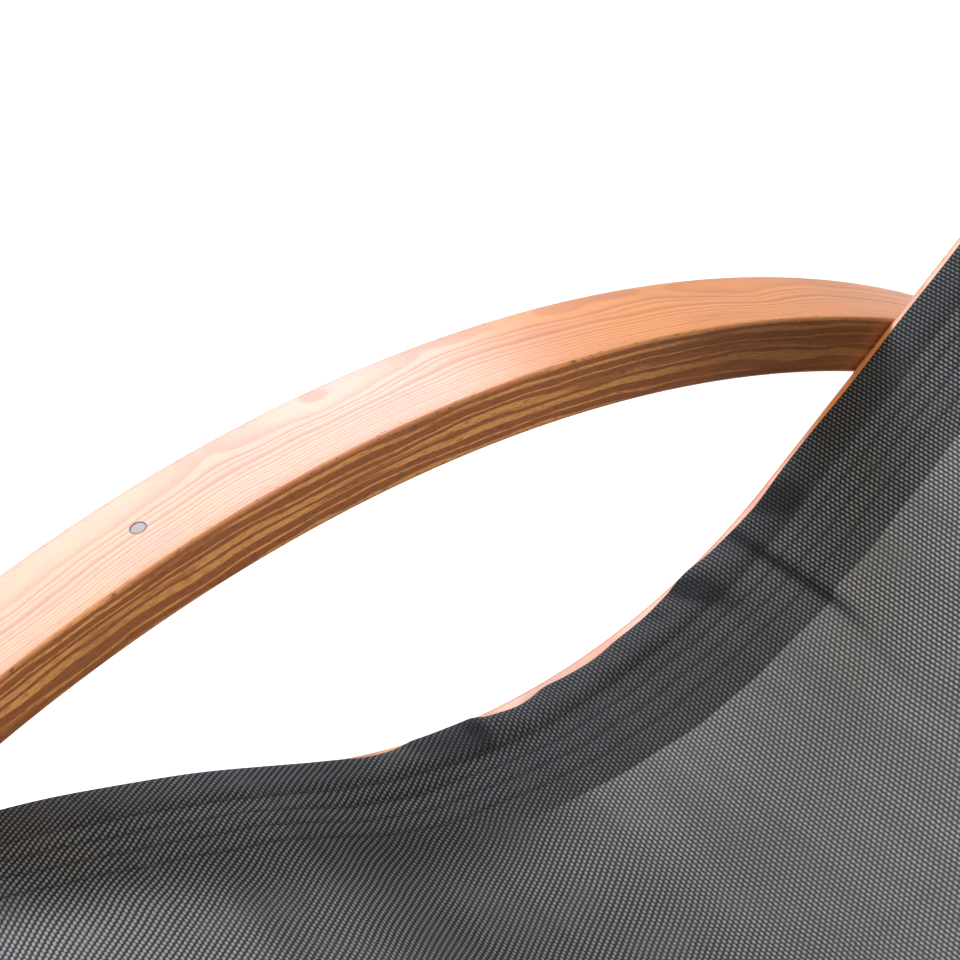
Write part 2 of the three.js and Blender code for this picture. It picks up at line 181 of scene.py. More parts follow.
# Each bend from the foot end to the head end: its length, and how far it turns upwards.
BENDS = [
    (KNEE_RADIUS * (FOOT_DROP + HIP_TO_KNEE), -(FOOT_DROP + HIP_TO_KNEE)),
    (HIP_RADIUS * (HIP_TO_KNEE + HIP_TO_BACK), HIP_TO_KNEE + HIP_TO_BACK),
    (BACK_LENGTH, 0.0),
    (HEAD_RADIUS * HEAD_ROLL, -HEAD_ROLL),
]
RAIL_LENGTH = sum(length for length, _ in BENDS)
HIP_DISTANCE = BENDS[0][0] + HIP_RADIUS * HIP_TO_KNEE


def advance(x, z, heading, length, turn_rate):
    """Where a bend of constant turn rate leads after a length, which may be an array."""
    if turn_rate == 0:
        return x + length * math.cos(heading), z + length * math.sin(heading), heading + 0 * length
    new = heading + length * turn_rate
    return (
        x + (np.sin(new) - math.sin(heading)) / turn_rate,
        z + (math.cos(heading) - np.cos(new)) / turn_rate,
        new,
    )


def bend_starts(x, z):
    """Each bend as its first distance, start x, z and heading, length and turn rate."""
    starts, heading, distance = [], FOOT_DROP, 0.0
    for length, turn in BENDS:
        rate = turn / length
        starts.append((distance, x, z, heading, length, rate))
        x, z, heading = (float(v) for v in advance(x, z, heading, length, rate))
        distance += length
    return starts


def along_rail(starts, distance):
    """x, z and heading of the rail's top line at distances from its foot end."""
    distance = np.asarray(distance, float)
    result = np.zeros((3,) + distance.shape)
    for i, (first, x, z, heading, _, rate) in enumerate(starts):
        here = np.ones(distance.shape, bool) if i == 0 else distance >= first
        values = advance(x, z, heading, distance[here] - first, rate)
        for row, value in zip(result, values):
            row[here] = value
    return result


_hip = along_rail(bend_starts(0.0, 0.0), np.array([HIP_DISTANCE]))[:, 0]
STARTS = bend_starts(HIP_X - _hip[0], HIP_Z - _hip[1])


def rail_point(distance, offset=0.0):
    """x and z of a point above the rail's top line by offset."""
    x, z, heading = along_rail(STARTS, distance)
    return x - offset * np.sin(heading), z + offset * np.cos(heading)


def below_rail(distance, depth):
    """A point under the batten's middle, below the rail's top line, and the way down from it."""
    x, z, heading = along_rail(STARTS, np.array([distance]))[:, 0]
    down = Vector((math.sin(heading), 0, -math.cos(heading)))
    return Vector((x, BATTEN_MIDDLE, z)) + down * depth, down


def rail_coordinates(x, z):
    """Distance and offset of points near the rail, the reverse of rail_point."""
    best = np.full(x.shape, np.inf)
    distance, offset = np.zeros(x.shape), np.zeros(x.shape)
    for first, x0, z0, heading, length, rate in STARTS:
        if rate == 0:
            dx, dz = x - x0, z - z0
            s = dx * math.cos(heading) + dz * math.sin(heading)
            off = -dx * math.sin(heading) + dz * math.cos(heading)
        else:
            radius = 1 / rate
            dx = x - (x0 - radius * math.sin(heading))
            dz = z - (z0 + radius * math.cos(heading))
            side = math.copysign(1, radius)
            s = (np.arctan2(side * dx, -side * dz) - heading) * radius
            off = radius - side * np.hypot(dx, dz)
        outside = np.abs(s - np.clip(s, 0, length)) + 0.05 * np.abs(off)
        take = outside < best
        best[take] = outside[take]
        distance[take] = first + s[take]
        offset[take] = off[take]
    return distance, offset


def hem_screw_distances():
    return np.linspace(HEM_SCREW_FROM_END, RAIL_LENGTH - HEM_SCREW_FROM_END, HEM_SCREWS)


# ---------------------------------------------------------------- mesh helpers


def bump_at(value, centre, spread):
    return np.exp(-(((value - centre) / spread) ** 2))


def ease(value, low, high):
    t = np.clip((value - low) / (high - low), 0, 1)
    return t * t * (3 - 2 * t)


def between(value, rise, fall):
    """1 between a rise and a fall, each given by where it starts and ends."""
    return ease(value, *rise) * (1 - ease(value, *fall))


def add_object(name, mesh, material, replaces=()):
    piece = bpy.data.objects.new(name, mesh)
    show(piece)
    mesh.materials.clear()
    mesh.materials.append(material)
    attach(piece, "root")
    if replaces:
        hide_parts(*replaces)
    return piece


def mesh_of(name, vertices, faces, sharp=SHARP):
    """A mesh whose faces all look outwards."""
    mesh = bpy.data.meshes.new(name)
    mesh.from_pydata([tuple(v) for v in vertices], [], faces)
    mesh.validate()
    solid = bmesh.new()
    solid.from_mesh(mesh)
    bmesh.ops.recalc_face_normals(solid, faces=solid.faces)
    solid.to_mesh(mesh)
    solid.free()
    mesh.shade_smooth()
    mesh.set_sharp_from_angle(angle=sharp)
    return mesh


def positions(mesh):
    flat = np.empty(len(mesh.vertices) * 3, np.float32)
    mesh.vertices.foreach_get("co", flat)
    return flat.reshape(-1, 3).astype(float)


def write_attribute(mesh, name, values):
    kind = "FLOAT_VECTOR" if np.ndim(values) == 2 else "FLOAT"
    attribute = mesh.attributes.new(name, kind, "POINT")
    attribute.data.foreach_set("vector" if kind == "FLOAT_VECTOR" else "value",
                               np.asarray(values, np.float32).ravel())


def rings_to_faces(count, around, closed=True):
    """Quads between rings of points, with the first and last ring closed by one face each."""
    faces = []
    for i in range(count - 1):
        for j in range(around):
            k = (j + 1) % around
            faces.append((i * around + j, i * around + k, (i + 1) * around + k, (i + 1) * around + j))
    if closed:
        faces.append(tuple(reversed(range(around))))
        faces.append(tuple(range((count - 1) * around, count * around)))
    return faces


def swept(name, rings):
    """A solid through rings of points, each with the same count."""
    return mesh_of(name, np.concatenate(rings), rings_to_faces(len(rings), len(rings[0])))


def rounded_section(width, depth, radius, inset=0.0, corner=6, flat=5):
    """A round-cornered rectangle, as points about its centre, always with the same count."""
    half_w, half_d = width / 2 - inset, depth / 2 - inset
    r = max(radius - inset, 0.0004)
    quarters = [(1, 1), (-1, 1), (-1, -1), (1, -1)]
    points = []
    for quarter, (a, b) in enumerate(quarters):
        centre = np.array([a * (half_w - r), b * (half_d - r)])
        angles = (quarter + np.linspace(0, 1, corner)) * math.pi / 2
        arc = centre + r * np.column_stack([np.cos(angles), np.sin(angles)])
        points.extend(arc)
        following = quarters[(quarter + 1) % 4]
        end = np.array([following[0] * (half_w - r), following[1] * (half_d - r)])
        end = end + r * np.array([np.cos(angles[-1]), np.sin(angles[-1])])
        points.extend(arc[-1] + (end - arc[-1]) * t for t in np.linspace(0, 1, flat + 2)[1:-1])
    return np.array(points)


def cut_holes(mesh, cutters, operation="DIFFERENCE"):
    """The mesh less its cutters, or joined to them. They are meshes in the same place."""
    body = bpy.data.objects.new("cutting", mesh)
    tool_mesh = bpy.data.meshes.new("cutters")
    vertices, faces = [], []
    for cutter in cutters:
        base = len(vertices)
        vertices.extend(v.co.copy() for v in cutter.vertices)
        faces.extend(tuple(base + i for i in polygon.vertices) for polygon in cutter.polygons)
    tool_mesh.from_pydata(vertices, [], faces)
    tool = bpy.data.objects.new("cutters", tool_mesh)
    show(body)
    show(tool)
    modifier = body.modifiers.new("holes", "BOOLEAN")
    modifier.operation = operation
    modifier.solver = "EXACT"
    modifier.object = tool
    bpy.context.view_layer.update()
    evaluated = body.evaluated_get(bpy.context.evaluated_depsgraph_get())
    result = bpy.data.meshes.new_from_object(evaluated)
    bpy.data.objects.remove(body)
    bpy.data.objects.remove(tool)
    result.name = mesh.name
    result.shade_smooth()
    result.set_sharp_from_angle(angle=SHARP)
    return result


def turned(name, profile, segments=40):
    """A solid of revolution about local Y. The profile is (radius, y), from axis to axis or a loop."""
    vertices, faces, previous = [], [], None
    for r, y in profile:
        if r < 1e-7:
            ring = [len(vertices)]
            vertices.append((0, y, 0))
        else:
            ring = list(range(len(vertices), len(vertices) + segments))
            angles = np.arange(segments) * math.tau / segments
            vertices.extend((r * math.cos(a), y, r * math.sin(a)) for a in angles)
        if previous:
            for j in range(segments):
                k = (j + 1) % segments
                corners = [previous[j % len(previous)], previous[k % len(previous)],
                           ring[k % len(ring)], ring[j % len(ring)]]
                face = list(dict.fromkeys(corners))
                if len(face) > 2:
                    faces.append(tuple(face))
        previous = ring
    return mesh_of(name, vertices, faces)


def prism(name, sides, radius, low, high):
    """A prism or cylinder about local Y."""
    angles = np.arange(sides) * math.tau / sides
    vertices = [(radius * math.cos(a), y, radius * math.sin(a)) for y in (low, high) for a in angles]
    return mesh_of(name, vertices, rings_to_faces(2, sides))


def placed(mesh, name, point=(0, 0, 0), direction=(0, 1, 0), mirror=False):
    """A copy of a mesh drawn about local Y, turned so that +Y points along direction."""
    copy = mesh.copy()
    copy.name = name
    turn = Vector((0, 1, 0)).rotation_difference(Vector(direction)).to_matrix().to_4x4()
    copy.transform(Matrix.Translation(Vector(point)) @ turn)
    if mirror:
        copy.transform(Matrix.Diagonal((1, -1, 1, 1)))
        copy.flip_normals()
    return copy


def add_pair(mesh, label, material, node="", point=(0, 0, 0), direction=(0, 1, 0)):
    """A right-hand piece and its mirror image. Each may stand for a node of its own side."""
    for side, mirror in RIGHT_LEFT:
        name = f"{side}_{label}"
        copy = placed(mesh, name, point, direction, mirror)
        add_object(name, copy, material, [f"{side}_{node}"] if node else ())


def node_centre(node):
    low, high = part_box(node)
    return (low + high) / 2


def round_cutter(radius, low, high, point, direction=(0, 1, 0)):
    """A cylinder for cutting, from low to high along a direction from a point."""
    return placed(prism("cutter", 32, radius, low, high), "cutter", point, direction)


def head_sink(bolt, radius, face_y):
    """The round recess for a bolt's head, in a face square to Y."""
    c = node_centre(bolt)
    return round_cutter(radius, -HEAD_SINK, 0.01, (c.x, face_y, c.z))


# ---------------------------------------------------------------- node helpers


class Nodes:
    """A short way to write a material's node tree."""

    def __init__(self, name):
        self.material = bpy.data.materials.new(name)
        self.material.use_nodes = True
        self.tree = self.material.node_tree
        self.shader = self.tree.nodes["Principled BSDF"]

    def add(self, kind, **settings):
        node = self.tree.nodes.new(kind)
        for key, value in settings.items():
            setattr(node, key, value)
        return node

    def link(self, source, target):
        self.tree.links.new(source, target)

    def feed(self, socket, value):
        if isinstance(value, bpy.types.NodeSocket):
            self.link(value, socket)
        elif isinstance(value, tuple) and socket.type == "RGBA":
            socket.default_value = (*value, 1)
        else:
            socket.default_value = value

    def math(self, operation, *values):
        node = self.add("ShaderNodeMath", operation=operation)
        for socket, value in zip(node.inputs, values):
            self.feed(socket, value)
        return node.outputs[0]

    def times(self, *values):
        return reduce(lambda first, second: self.math("MULTIPLY", first, second), values)

    def plus(self, *values):
        return reduce(lambda first, second: self.math("ADD", first, second), values)

    def less(self, first, second):
        return self.math("SUBTRACT", first, second)

    def centred(self, value, swing):
        """A noise's value, moved from about a half to about zero."""
        return self.times(self.less(value, 0.5), swing)

    def blend_values(self, factor, first, second):
        return self.plus(self.times(first, self.less(1.0, factor)), self.times(factor, second))

    def axes(self, name):
        """The three numbers of a vector attribute."""
        split = self.add("ShaderNodeSeparateXYZ")
        self.link(self.add("ShaderNodeAttribute", attribute_name=name).outputs["Vector"], split.inputs[0])
        return split.outputs

    def amount(self, name):
        """The one number of a plain attribute."""
        return self.add("ShaderNodeAttribute", attribute_name=name).outputs["Fac"]

    def combine(self, x, y, z):
        node = self.add("ShaderNodeCombineXYZ")
        for socket, value in zip(node.inputs, (x, y, z)):
            self.feed(socket, value)
        return node.outputs[0]

    def noise(self, vector, detail=2.0, roughness=0.5, scale=1.0, output="Fac"):
        node = self.add("ShaderNodeTexNoise")
        self.link(vector, node.inputs["Vector"])
        self.feed(node.inputs["Scale"], scale)
        self.feed(node.inputs["Detail"], detail)
        self.feed(node.inputs["Roughness"], roughness)
        return node.outputs[output]

    def drifts(self, vector, roughness, swing):
        """Two unrelated slow noises about zero."""
        split = self.add("ShaderNodeSeparateColor")
        self.link(self.noise(vector, 2.0, roughness, output="Color"), split.inputs[0])
        return [self.centred(channel, swing) for channel in split.outputs[:2]]

    def step_value(self, value):
        """An unrelated number for each whole step of a value."""
        node = self.add("ShaderNodeTexWhiteNoise", noise_dimensions="1D")
        self.link(self.math("FLOOR", value), node.inputs["W"])
        return node.outputs["Value"]

    def ramp(self, value, stops):
        """Stops are (position, grey)."""
        node = self.add("ShaderNodeValToRGB")
        elements = node.color_ramp.elements
        while len(elements) < len(stops):
            elements.new(0.5)
        for element, (position, grey) in zip(elements, stops):
            element.position = position
            element.color = (grey, grey, grey, 1)
        self.feed(node.inputs["Fac"], value)
        return node.outputs["Color"]

    def remap(self, value, from_low, from_high, to_low=0.0, to_high=1.0, smooth=True):
        node = self.add("ShaderNodeMapRange", interpolation_type="SMOOTHSTEP" if smooth else "LINEAR")
        keys = ("Value", "From Min", "From Max", "To Min", "To Max")
        for key, number in zip(keys, (value, from_low, from_high, to_low, to_high)):
            self.feed(node.inputs[key], number)
        return node.outputs["Result"]

    def mix(self, factor, first, second, blend="MIX"):
        node = self.add("ShaderNodeMix", data_type="RGBA", blend_type=blend)
        colour_inputs = [s for s in node.inputs if s.type == "RGBA"]
        self.feed(node.inputs[0], factor)
        self.feed(colour_inputs[0], first)
        self.feed(colour_inputs[1], second)
        return next(s for s in node.outputs if s.type == "RGBA")

    def bump(self, height, distance, strength):
        node = self.add("ShaderNodeBump")
        self.feed(node.inputs["Height"], height)
        self.feed(node.inputs["Distance"], distance)
        self.feed(node.inputs["Strength"], strength)
        return node.outputs["Normal"]

    def finish(self, colour, roughness, normal, **sockets):
        self.feed(self.shader.inputs["Base Color"], colour)
        self.feed(self.shader.inputs["Roughness"], roughness)
        self.link(normal, self.shader.inputs["Normal"])
        for key, value in sockets.items():
            self.feed(self.shader.inputs[key.replace("_", " ")], value)
        return self.material


# ---------------------------------------------------------------- materials


def wood_material(name, pith, tone=1.0):
    """Stained larch. Its rings are circles about the pith, cut by whatever face shows.

    The grain attribute holds millimetres: along the beam, across it, and up through it. The side
    attribute is 1 on the sawn flanks, a second one is how much darker they are painted for shade
    towards the head end, and edge is 1 on the worn arrises.
    """
    n = Nodes(name)
    along, across, through = n.axes("grain")

    def stretched(along_rate, across_rate):
        return n.combine(n.times(along, along_rate), n.times(across, across_rate),
                         n.times(through, across_rate))

    def toned(*colour):
        return tuple(c * tone for c in colour)

    drift = n.drifts(stretched(0.0070, 0.008), 0.45, 15.0)
    dx = n.plus(n.less(across, pith[0]), drift[0])
    dz = n.plus(n.less(through, pith[1]), drift[1])
    distance = n.math("SQRT", n.plus(n.times(dx, dx), n.times(dz, dz)))
    distance = n.plus(distance, n.centred(n.noise(stretched(0.013, 0.05)), 1.8))
    # Rings grow narrower away from the pith, and no two years are alike.
    rings = n.plus(n.times(distance, 0.03), n.times(distance, distance, 0.0034))
    seasons = n.noise(n.combine(n.times(distance, 0.19), 0.0, 0.0), 1.0)
    rings = n.plus(rings, n.times(seasons, 2.4))
    late = n.ramp(n.math("FRACT", rings),
                  [(0.0, 0.0), (0.40, 0.08), (0.58, 0.60), (0.78, 1.0), (0.92, 0.90), (1.0, 0.0)])
    late = n.times(late, n.remap(n.step_value(rings), 0.0, 1.0, 0.55, 1.0, False))

    # The sawn flanks show long bands that run almost with the beam.
    sway = n.centred(n.noise(stretched(0.0036, 0.030), 1.0), 15.0)
    flame = n.centred(n.noise(stretched(0.013, 0.060)), 10.0)
    bands = n.times(n.plus(through, n.plus(sway, flame)), 0.150)
    band = n.math("FRACT", bands)
    pale = n.times(n.math("POWER", n.step_value(bands), 1.7), 0.56)
    dyed = n.times(n.remap(n.less(band, pale), 0.10, 0.22), n.remap(band, 1.0, 0.93))
    dyed = n.math("MAXIMUM", dyed, n.remap(n.noise(stretched(0.0075, 0.11)), 0.52, 0.62, 0.0, 0.8))

    fibre = n.noise(stretched(0.05, 1.3), 4.0, 0.65)
    fleck = n.noise(stretched(0.16, 1.1), 3.0, 0.6)
    cloud = n.noise(stretched(0.010, 0.05), 3.0, 0.55)
    face = n.mix(n.times(late, 0.85), toned(0.73, 0.245, 0.050), toned(0.47, 0.138, 0.034))
    flank = n.mix(dyed, toned(0.94, 0.415, 0.118), toned(0.425, 0.137, 0.042))
    flank = n.mix(n.remap(fleck, 0.48, 0.68, 0.0, 0.60), flank, toned(0.105, 0.036, 0.018))
    # Painted shade: the flanks darken towards the head end.
    flank = n.mix(n.amount("flank_shade"), flank, toned(0.130, 0.039, 0.013))
    colour = n.mix(n.amount("side"), face, flank)
    colour = n.mix(n.remap(cloud, 0.40, 0.75, 0.0, 0.42), colour, toned(0.40, 0.135, 0.042))
    fibres = n.ramp(fibre, [(0.25, 0.35), (0.5, 0.85), (0.75, 1.0)])
    colour = n.mix(0.38, colour, fibres, "MULTIPLY")

    # Worn arrises: rubbed to an even orange-brown, with small nicks that have caught dirt.
    nick = n.noise(stretched(0.16, 0.5), 5.0, 0.7)
    edge = n.plus(n.amount("edge"), n.remap(nick, 0.35, 0.65, -0.16, 0.16, False))
    edge = n.remap(edge, 0.08, 0.42)
    rub = n.times(edge, n.remap(nick, 0.38, 0.60, 0.45, 0.90))
    colour = n.mix(rub, colour, toned(0.46, 0.165, 0.042))
    dent = n.times(edge, n.remap(nick, 0.60, 0.66))
    colour = n.mix(n.times(dent, 0.8), colour, (0.055, 0.022, 0.013))

    height = n.less(n.plus(n.times(late, 0.40), n.times(fibre, 0.6)), n.times(dent, 2.5))
    normal = n.bump(height, 0.00014, 0.9)
    rough = n.remap(n.plus(fibre, n.times(late, 0.25)), 0.3, 1.0, 0.34, 0.50, False)
    # The open grooves of the late wood break up the varnish's sheen.
    coat = n.remap(late, 0.0, 1.0, 0.50, 0.24, False)
    return n.finish(colour, rough, normal, Specular_IOR_Level=0.5, Coat_Weight=coat, Coat_Roughness=0.28)


# The weave's two wave directions, in waves per millimetre along and across the sling: the rows,
# and the slanted ribs. Rows are 2.67 mm apart, and stitches 4.17 mm apart along a row.
ROW_WAVE = (0.374, 0.0)
RIB_WAVE = (0.187, -0.240)
# The colour that the painted shade on the cloth is mixed towards.
PAINTED_SHADE_BLACK = (0.0, 0.0, 0.0)


def mesh_fabric():
    """Coated mesh: pale dashes of yarn over a near-black ground, in staggered rows.

    The cloth attribute holds millimetres: along the sling, across it, and past the hem's inner
    line. The other attribute is painted shade, 1 where it is darkest: in the tucks, where folded
    layers lie on each other, along the crease and the stitch rows, in the sleeve and in a hollow
    towards the knee. The single layer is painted lighter for the light that shines through it.
    """
    n = Nodes("woven_mesh")
    along, across, hem = n.axes("cloth")

    def scaled(along_rate, across_rate, seed):
        return n.combine(n.times(along, along_rate), n.times(across, across_rate), seed)

    broad = scaled(0.012, 0.012, 0.3)
    drift = n.drifts(broad, 0.5, 5.0)
    x, y = n.plus(along, drift[0]), n.plus(across, drift[1])

    def wave(rate_x, rate_y):
        turns = n.plus(n.times(x, rate_x), n.times(y, rate_y))
        return n.math("COSINE", n.times(turns, math.tau))

    rib = wave(*RIB_WAVE)
    counter_rib = wave(RIB_WAVE[0] - ROW_WAVE[0], RIB_WAVE[1])
    row = wave(*ROW_WAVE)
    # Painted light: the single layer is lighter for the light that shines through it, and the double hem
    # band stays darker. Towards the knee this painted difference fades, and the hem's edge hardly shows.
    clear = n.remap(along, 790.0, 900.0)
    crisp = n.times(n.remap(hem, -0.8, 0.8), clear)
    fade_start = n.remap(along, 620.0, 530.0, -50.0, -14.0)
    vague = n.times(n.remap(hem, fade_start, 22.0, 0.14, 0.98), n.less(1.0, clear))
    double_layer_shade = n.plus(crisp, vague)
    # The rows stand out on the backrest, and the slanted ribs towards the knee.
    weave = n.times(rib, n.remap(clear, 0.0, 1.0, 0.52, 0.29, False))
    weave = n.plus(weave, n.times(counter_rib, 0.16))
    weave = n.plus(weave, n.times(row, n.remap(clear, 0.0, 1.0, 0.32, 0.55, False)))
    # In places, and all along the hip below the crease, the yarns lie flatter and show less.
    flat = n.remap(n.noise(scaled(0.022, 0.022, 9.0)), 0.46, 0.66, 0.0, 0.42)
    calm = n.times(n.remap(along, 1069.0, 1057.0), n.remap(along, 800.0, 930.0))
    flat = n.math("MAXIMUM", flat, n.times(calm, 0.40))
    yarn = n.remap(n.blend_values(flat, weave, 0.14), -0.34, 0.78)

    speck = n.remap(n.noise(scaled(1.1, 1.1, 0.0), 2.0, 0.6), 0.3, 0.7, 0.78, 1.22, False)
    patch = n.remap(n.noise(broad, 3.0), 0.3, 0.7, 0.93, 1.07, False)
    weft = n.noise(scaled(0.055, 0.004, 5.0), 3.0, 0.6)
    patch = n.times(patch, n.remap(weft, 0.3, 0.7, 0.86, 1.14, False))
    # Painted light: the single layer is brighter towards the foot end.
    foot_end_light = n.times(n.less(1.0, double_layer_shade), n.remap(along, 590.0, 530.0, 0.0, 0.58))
    patch = n.times(patch, n.plus(foot_end_light, 1.0))
    # Painted light through the single layer, and painted shade on the double hem band.
    ground = n.mix(double_layer_shade, (0.040, 0.039, 0.037), (0.0100, 0.0098, 0.0094))
    light = n.mix(double_layer_shade, (0.292, 0.283, 0.266), (0.162, 0.156, 0.147))
    colour = n.mix(n.times(yarn, speck, patch), ground, light)
    # Painted shade: the hem is a little darker round the hip's bend, and the cloth much darker in its
    # tucks, along the crease and the stitch rows, in the sleeve and in a hollow towards the knee.
    bend = n.times(n.remap(along, 1080.0, 970.0), n.remap(along, 620.0, 730.0))
    colour = n.mix(n.times(bend, double_layer_shade, 0.30), colour, PAINTED_SHADE_BLACK)
    colour = n.mix(n.amount("cloth_shade"), colour, n.mix(0.78, colour, PAINTED_SHADE_BLACK))

    normal = n.bump(yarn, 0.00035, 0.7)
    return n.finish(colour, 0.66, normal, Specular_IOR_Level=0.10)


def plain_material(name, colour, roughness, grain_scale, variation=0.12, bump=0.00003, **sockets):
    """Moulded or plated stuff: an even colour with a fine uneven surface."""
    n = Nodes(name)
    place = n.add("ShaderNodeTexCoord").outputs["Object"]
    fine = n.noise(place, 3.0, 0.6, grain_scale)
    broad = n.noise(place, 2.0, 0.5, grain_scale / 25)
    dark = tuple(c * (1 - 2 * variation) for c in colour)
    mixed = n.mix(n.remap(broad, 0.3, 0.7), dark, colour)
    rough = n.remap(fine, 0.3, 0.7, roughness - 0.07, roughness + 0.07, False)
    return n.finish(mixed, rough, n.bump(fine, bump, 0.6), **sockets)


make_camera()
make_stage()

arch_wood = wood_material("arch_larch", (62, -14))
rail_wood = wood_material("rail_larch", (30, -26), 0.96)
bar_wood = wood_material("bar_larch", (12, -18), 0.92)
fabric = mesh_fabric()
thread = plain_material("sewing_thread", (0.030, 0.031, 0.034), 0.7, 2500.0)
steel = plain_material("zinc_plated_steel", (0.58, 0.60, 0.63), 0.34, 1400.0, 0.10, 0.00002, Metallic=1.0)
dull_steel = plain_material("dull_zinc", (0.36, 0.305, 0.255), 0.70, 1400.0, 0.12, 0.00004, Metallic=0.15)
# The dark ring round the arm screw's head: painted shade of the gap, and bluish corrosion.
gap_shade_grey = plain_material("screw_gap_shade", (0.130, 0.145, 0.180), 0.6, 1400.0, 0.15)
rubber = plain_material("black_rubber", (0.030, 0.030, 0.032), 0.75, 1100.0)
batten_plastic = plain_material("batten_plastic", (0.72, 0.71, 0.67), 0.5, 700.0)


# ---------------------------------------------------------------- wooden pieces


def edge_nearness(to_side, through, depth, reach=2.8):
    """1 on a beam's long edges and 0 a few millimetres from them, for coordinates in millimetres."""
    to_face = np.minimum(through, depth - through)
    return np.clip(1 - np.maximum(to_side, to_face) / reach, 0, 1)


def add_grain(mesh, along, across, through, width, depth, flank_shade=0.0):
    """Beam coordinates in metres, written for the wood material in millimetres."""
    grain = np.column_stack([along, across, through]) / MM
    to_side = np.minimum(grain[:, 1], width / MM - grain[:, 1])
    write_attribute(mesh, "grain", grain)
    write_attribute(mesh, "flank_shade", np.zeros(len(along)) + flank_shade)
    write_attribute(mesh, "edge", edge_nearness(to_side, grain[:, 2], depth / MM))
    write_attribute(mesh, "side", 1 - ease(to_side, 0.5, 2.2))


def beam_stations(length, end_round, step=0.006):
    """Distances along a beam with the inset of its section, rounded over at both ends."""
    angles = np.linspace(math.pi / 2, 0, 5)
    start = [(end_round * (1 - math.sin(a)), end_round * (1 - math.cos(a))) for a in angles]
    middle = np.linspace(end_round, length - end_round, int(length / step))[1:-1]
    return start + [(s, 0.0) for s in middle] + [(length - s, inset) for s, inset in reversed(start)]


def build_arch():
    """The right arch, drawn once in place. Its feet are cut level with the floor."""
    centre_y = ARCH_INNER_Y + ARCH_WIDTH / 2
    foot_chamfer = 0.0015

    def ring(angle_of, inset):
        section = rounded_section(ARCH_WIDTH, ARCH_DEPTH, ARCH_ROUNDING, inset, 7, 6)
        y = centre_y - section[:, 0]
        radius = ARCH_RADIUS - ARCH_DEPTH / 2 + section[:, 1]
        angle = angle_of(radius)
        return np.column_stack([radius * np.sin(angle), y, ARCH_CENTRE_Z + radius * np.cos(angle)])

    def reach(radius, height=0.0):
        return np.arccos((FOOT_Z + height - ARCH_CENTRE_Z) / radius)

    rings = [ring(lambda r: -reach(r), foot_chamfer)]
    for t in np.linspace(-1, 1, 340):
        rings.append(ring(lambda r, t=t: t * reach(r, foot_chamfer), 0.0))
    rings.append(ring(reach, foot_chamfer))

    cutters = []
    for end in ("front", "rear"):
        for name in (f"right_{end}_crossing_bolt", f"right_{end}_stretcher_bolt"):
            low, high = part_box(name)
            cutters.append(head_sink(name, (high.x - low.x) / 2 + 0.0004, arch_high.y))
    seat_radius, seat_depth = 0.00535, 0.0008
    cutters.append(round_cutter(seat_radius, -seat_depth, 0.01, *arm_screw_place()))
    return cut_holes(swept("arch", rings), cutters)


def arm_screw_place():
    """The screw head's centre on the arch's top face, and the face's normal there."""
    c = node_centre("right_arm_screw")
    out = Vector((c.x, 0, c.z - ARCH_CENTRE_Z)).normalized()
    top = Vector((0, c.y, ARCH_CENTRE_Z)) + out * ARCH_RADIUS
    return top, out


def place_arches():
    """Both arches. Each has its own stretch of grain, from its own shift along it."""
    mesh = build_arch()
    for (side, mirror), shift in zip(RIGHT_LEFT, (0.0, 3.7)):
        copy = placed(mesh, f"{side}_arch_wood", mirror=mirror)
        co = positions(copy)
        radius = np.hypot(co[:, 0], co[:, 2] - ARCH_CENTRE_Z)
        angle = np.arctan2(co[:, 0], co[:, 2] - ARCH_CENTRE_Z)
        across = np.abs(co[:, 1]) - ARCH_INNER_Y
        through = radius - (ARCH_RADIUS - ARCH_DEPTH)
        # Painted shade: the flanks are darkened where the bow turns down towards the head end.
        flank_shade = 0.72 * ease(angle, 0.04, 0.26)
        add_grain(copy, angle * (ARCH_RADIUS - ARCH_DEPTH / 2) + shift, across, through,
                  ARCH_WIDTH, ARCH_DEPTH, flank_shade)
        add_object(f"{side}_arch_wood", copy, arch_wood, [f"{side}_arch"])


def build_rail():
    centre_y = RAIL_INNER_Y + RAIL_WIDTH / 2
    rings = []
    for distance, inset in beam_stations(RAIL_LENGTH, 0.006):
        section = rounded_section(RAIL_WIDTH, RAIL_DEPTH, RAIL_ROUNDING, inset, 6, 4)
        x, z = rail_point(np.full(len(section), distance), section[:, 1] - RAIL_DEPTH / 2)
        rings.append(np.column_stack([x, centre_y - section[:, 0], z]))
    sink_radius, screw_hole_radius = 0.0079, 0.005
    cutters = [head_sink(f"right_{bar}_bolt", sink_radius, rail_high.y) for bar in CROSSBARS]
    for distance in hem_screw_distances():
        mouth = below_rail(distance, RAIL_DEPTH)
        cutters.append(round_cutter(screw_hole_radius, -HEM_SCREW_SINK, 0.01, *mouth))
    return cut_holes(swept("rail", rings), cutters)


def place_rails():
    mesh = build_rail()
    for (side, mirror), shift in zip(RIGHT_LEFT, (1.3, 6.1)):
        copy = placed(mesh, f"{side}_rail_wood", mirror=mirror)
        co = positions(copy)
        distance, offset = rail_coordinates(co[:, 0], co[:, 2])
        add_grain(copy, distance + shift, np.abs(co[:, 1]) - RAIL_INNER_Y, offset + RAIL_DEPTH,
                  RAIL_WIDTH, RAIL_DEPTH)
        add_object(f"{side}_rail_wood", copy, rail_wood, [f"{side}_side_rail"])


def bar_heading(node):
    """A crossbar lies along the rail, and a stretcher across the arch's radius."""
    c = node_centre(node)
    if node in CROSSBARS:
        distance = rail_coordinates(np.array([c.x]), np.array([c.z]))[0]
        return float(along_rail(STARTS, distance)[2][0])
    return -math.atan2(c.x, c.z - ARCH_CENTRE_Z)


